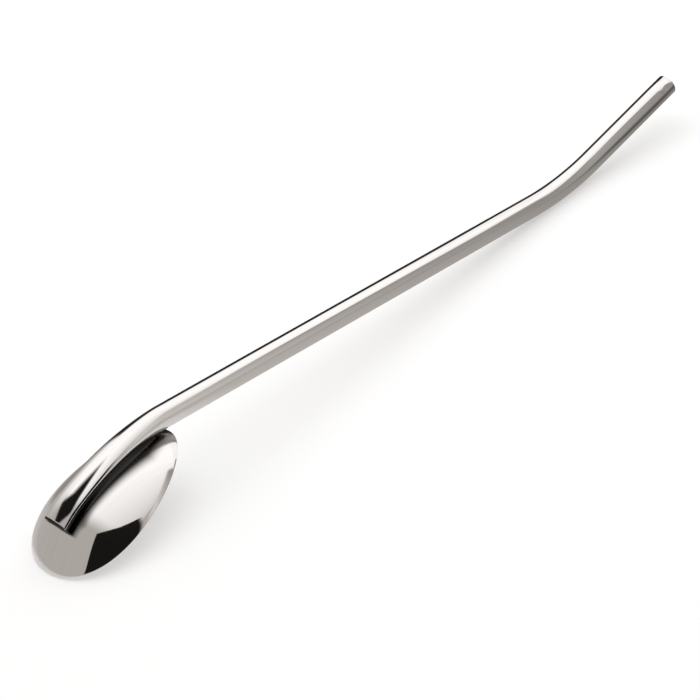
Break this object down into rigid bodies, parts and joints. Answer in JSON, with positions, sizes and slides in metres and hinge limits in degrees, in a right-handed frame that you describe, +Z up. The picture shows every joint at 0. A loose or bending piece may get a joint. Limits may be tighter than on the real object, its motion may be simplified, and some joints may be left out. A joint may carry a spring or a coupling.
{
  "type": "spoon straw",
  "caption": "Steel drinking straw with a gently bent mouth end; its lower end is pressed flat and soldered along the back of a small spoon bowl, where it stays open as a slit.",
  "frame": {"origin": "middle of the footprint, on the surface that the straw lies on with its bowl face down", "axes": "+X along the straw from the bowl towards the mouth, +Z up, the way the back of the bowl faces; the straw is alike on both sides of the plane y = 0"},
  "size_m": [0.2264, 0.032, 0.0205],
  "materials": {
    "tube_steel": "mirror-polished stainless steel tube, fine drawing lines along its length",
    "bowl_steel": "mirror-polished stainless steel sheet with soft buffing streaks and hairline scratches",
    "solder": "silver solder, smoothed and polished over, slightly duller than the steel"
  },
  "bodies": {
    "root": {"straw_tube": "tube_steel", "spoon_bowl": "bowl_steel", "solder_seam_left": "solder", "solder_seam_right": "solder"}
  },
  "joints": []
}
